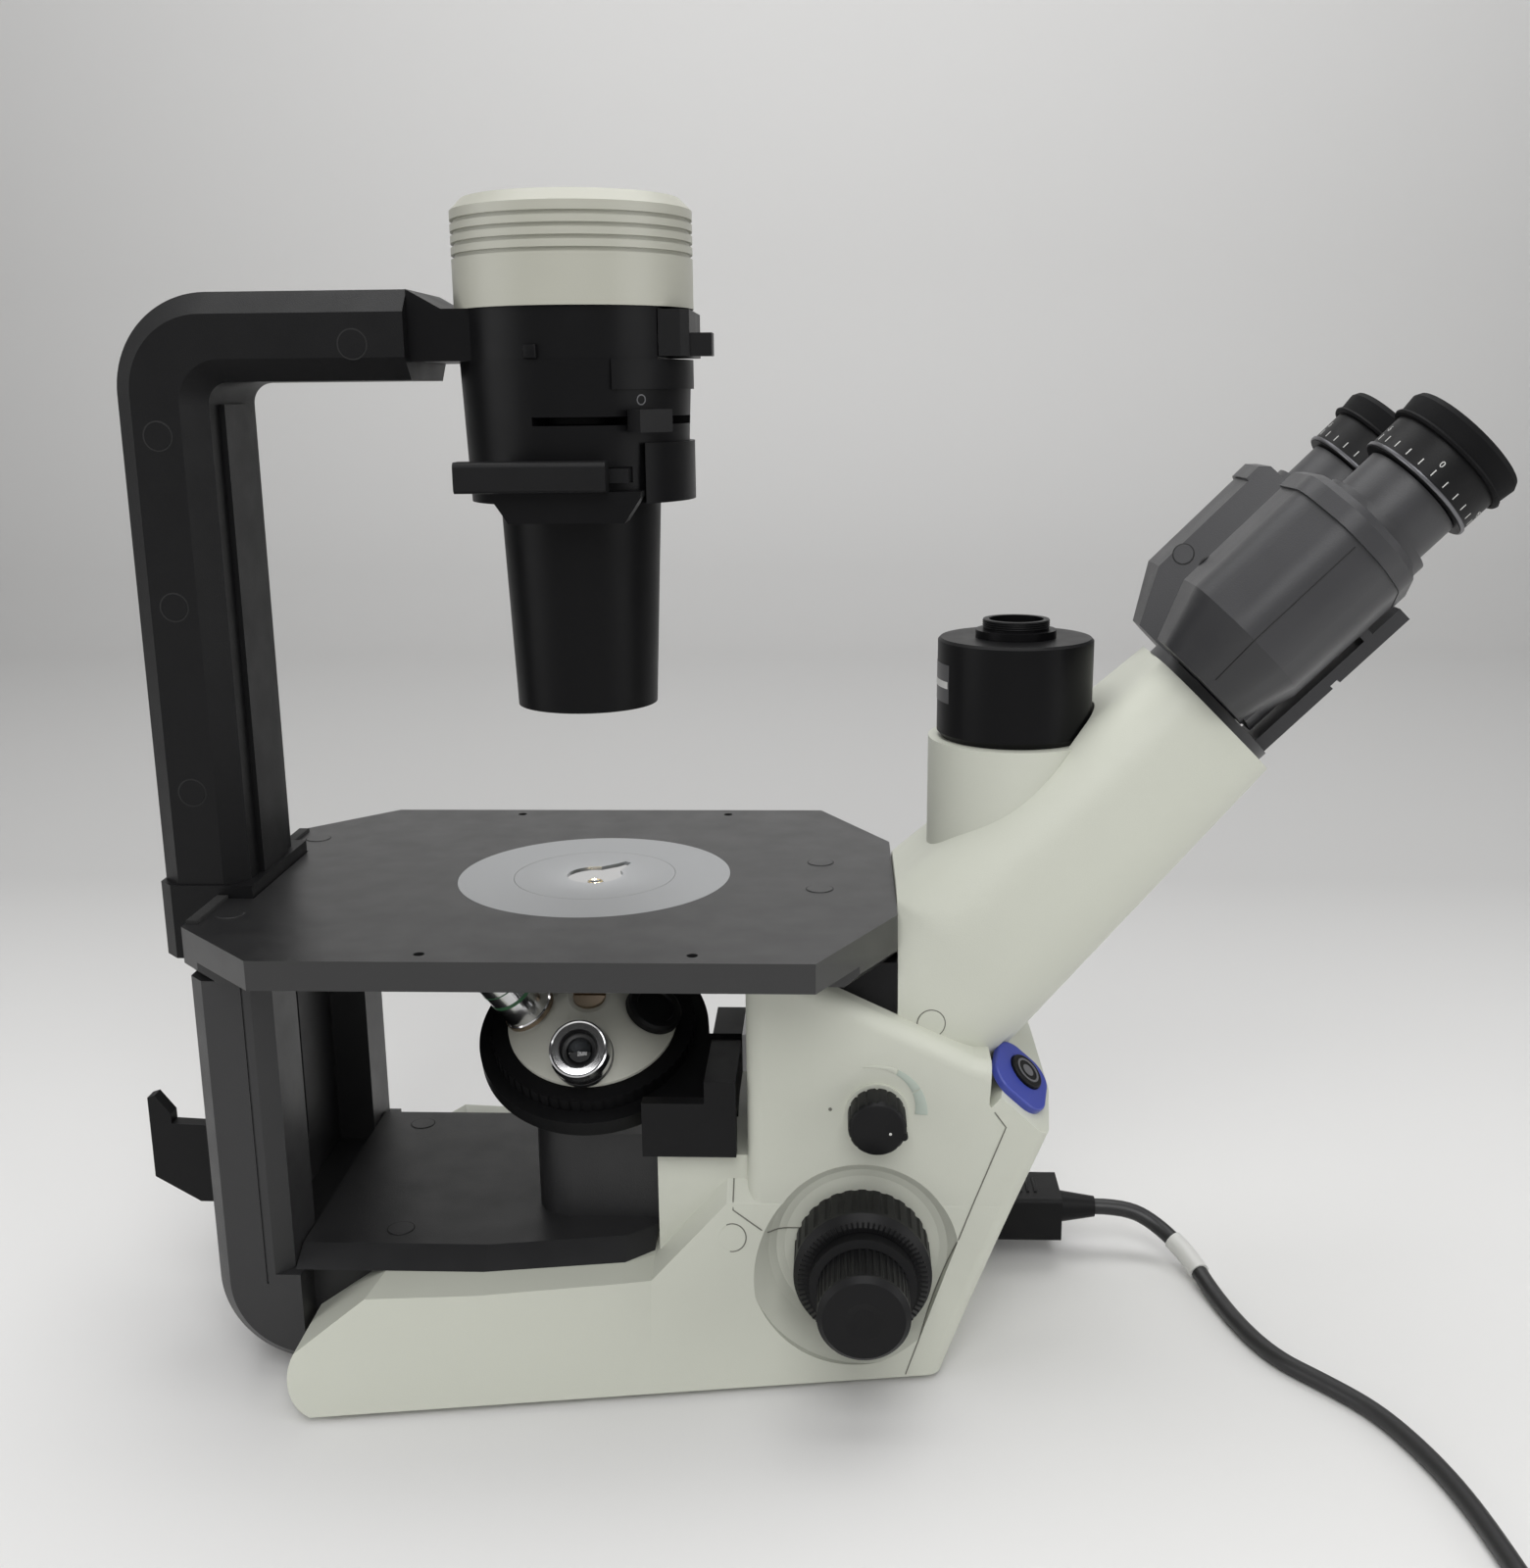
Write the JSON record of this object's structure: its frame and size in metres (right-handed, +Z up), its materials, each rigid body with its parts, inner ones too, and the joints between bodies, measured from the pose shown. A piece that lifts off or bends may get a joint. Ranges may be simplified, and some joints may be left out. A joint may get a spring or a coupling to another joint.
{
  "type": "inverted microscope",
  "caption": "Inverted microscope with a trinocular tube, a fixed stage over a tilted nosepiece, and a lamp and condenser on a rear arm.",
  "frame": {"origin": "middle of the instrument's bounding box, without its cord, on the table", "axes": "+X to the operator and the eyepieces, +Y to the operator's right, +Z up"},
  "size_m": [0.5161, 0.4105, 0.4443],
  "materials": {
    "white_paint": "cream white paint on a cast base",
    "white_plastic": "cream white moulded cover, fine texture",
    "black_cast": "satin black paint on aluminium",
    "black_plastic": "black moulded plastic",
    "black_rubber": "soft black rubber",
    "blue_plastic": "blue switch panel",
    "steel": "ground steel",
    "chrome": "chromed brass barrel",
    "aluminium": "brushed aluminium",
    "brass": "dull brass cap",
    "glass": "optical glass",
    "mirror": "front surface mirror",
    "circuit": "white board of the light source"
  },
  "bodies": {
    "frame": {"base_housing": "white_paint", "base_plate": "steel", "feet": "black_rubber", "base_cover": "black_cast", "fold_mirror": "mirror", "left_cover": "white_plastic", "right_cover": "white_plastic", "front_cover": "white_plastic", "switch_bezel": "blue_plastic", "guide_rods": "steel", "rod_bridge": "aluminium", "stage_plate": "black_cast", "stage_insert": "aluminium", "insert_ring": "aluminium", "stage_support": "black_cast", "rear_frame": "black_cast", "column_base": "black_cast", "arm": "black_cast", "arm_cover": "black_plastic", "cord_hook": "black_plastic", "lamp_house": "white_plastic", "lamp_holder": "black_cast", "led_board": "circuit", "condenser_body": "black_cast", "condenser_barrel": "black_plastic", "condenser_lens": "glass", "camera_clamp": "black_cast", "camera_adapter": "black_cast", "head_base": "black_cast", "power_inlet": "black_plastic", "appliance_plug": "black_plastic", "cord_tube": "black_rubber", "cord_coil": "black_rubber", "wall_plug": "black_plastic"},
    "focus_slide": {"focus_carriage": "aluminium", "nosepiece_bracket": "black_cast"},
    "nosepiece": {"turret": "black_cast", "turret_grip": "black_rubber", "turret_cap": "brass", "objective_in_use": "chrome", "objective_long": "chrome", "objective_low": "chrome", "turret_plug": "black_plastic"},
    "coarse_drive": {"focus_shaft": "steel", "left_coarse_knob": "black_plastic", "right_coarse_knob": "black_plastic"},
    "fine_drive": {"fine_shaft": "steel", "left_fine_knob": "black_plastic", "right_fine_knob": "black_plastic"},
    "dimmer": {"dimmer_knob": "black_plastic"},
    "power_switch": {"power_button": "black_plastic"},
    "phase_slide": {"phase_slider": "black_plastic"},
    "iris": {"iris_lever": "black_plastic"},
    "filter": {"filter_drawer": "black_plastic"},
    "left_tube": {"left_prism_housing": "black_cast"},
    "right_tube": {"right_prism_housing": "black_cast"},
    "left_ocular": {"left_eyepiece": "black_plastic", "left_eyecup": "black_rubber"},
    "right_ocular": {"right_eyepiece": "black_plastic", "right_eyecup": "black_rubber"}
  },
  "joints": [
    {"name": "focus_travel", "type": "slide", "parent": "frame", "child": "focus_slide", "axis": [0, 0, 1], "range_m": [-0.01, 0.001]},
    {"name": "coarse_spin", "type": "hinge", "parent": "frame", "child": "coarse_drive", "pos_m": [0.0305, 0, 0.053], "axis": [0, 1, 0], "range_deg": [-98, 12]},
    {"name": "fine_spin", "type": "hinge", "parent": "coarse_drive", "child": "fine_drive", "pos_m": [0.0305, 0, 0.053], "axis": [0, 1, 0], "continuous": true},
    {"name": "nosepiece_turn", "type": "hinge", "parent": "focus_slide", "child": "nosepiece", "pos_m": [-0.0775, 0, 0.092], "axis": [0, -0.454, 0.891], "continuous": true},
    {"name": "dimmer_turn", "type": "hinge", "parent": "frame", "child": "dimmer", "pos_m": [0.0358, -0.07, 0.1105], "axis": [0, 1, 0], "range_deg": [-135, 135]},
    {"name": "power_press", "type": "slide", "parent": "frame", "child": "power_switch", "axis": [-0.6502, 0.2701, -0.7102], "range_m": [0, 0.0015], "stiffness_N_per_m": 400},
    {"name": "phase_travel", "type": "slide", "parent": "frame", "child": "phase_slide", "axis": [0, -1, 0], "range_m": [0, 0.05]},
    {"name": "iris_swing", "type": "hinge", "parent": "frame", "child": "iris", "pos_m": [-0.0775, 0, 0.3655], "axis": [0, 0, 1], "range_deg": [-44, 44]},
    {"name": "filter_travel", "type": "slide", "parent": "frame", "child": "filter", "axis": [1, 0, 0], "range_m": [0, 0.03]},
    {"name": "left_eye_fold", "type": "hinge", "parent": "frame", "child": "left_tube", "pos_m": [0.1635, 0, 0.2545], "axis": [0.7071, 0, 0.7071], "range_deg": [-25, 10.9]},
    {"name": "right_eye_fold", "type": "hinge", "parent": "frame", "child": "right_tube", "pos_m": [0.1635, 0, 0.2545], "axis": [0.7071, 0, 0.7071], "range_deg": [-10.9, 25]},
    {"name": "left_diopter", "type": "hinge", "parent": "left_tube", "child": "left_ocular", "pos_m": [0.22256, -0.03502, 0.33686], "axis": [0.7071, 0, 0.7071], "range_deg": [-90, 90]},
    {"name": "right_diopter", "type": "hinge", "parent": "right_tube", "child": "right_ocular", "pos_m": [0.22256, 0.03502, 0.33686], "axis": [0.7071, 0, 0.7071], "range_deg": [-90, 90]}
  ],
  "couplings": [
    {"joint": "coarse_spin", "follows": "focus_travel", "rad_per_m": 166.67},
    {"joint": "right_eye_fold", "follows": "left_eye_fold", "ratio": -1}
  ]
}
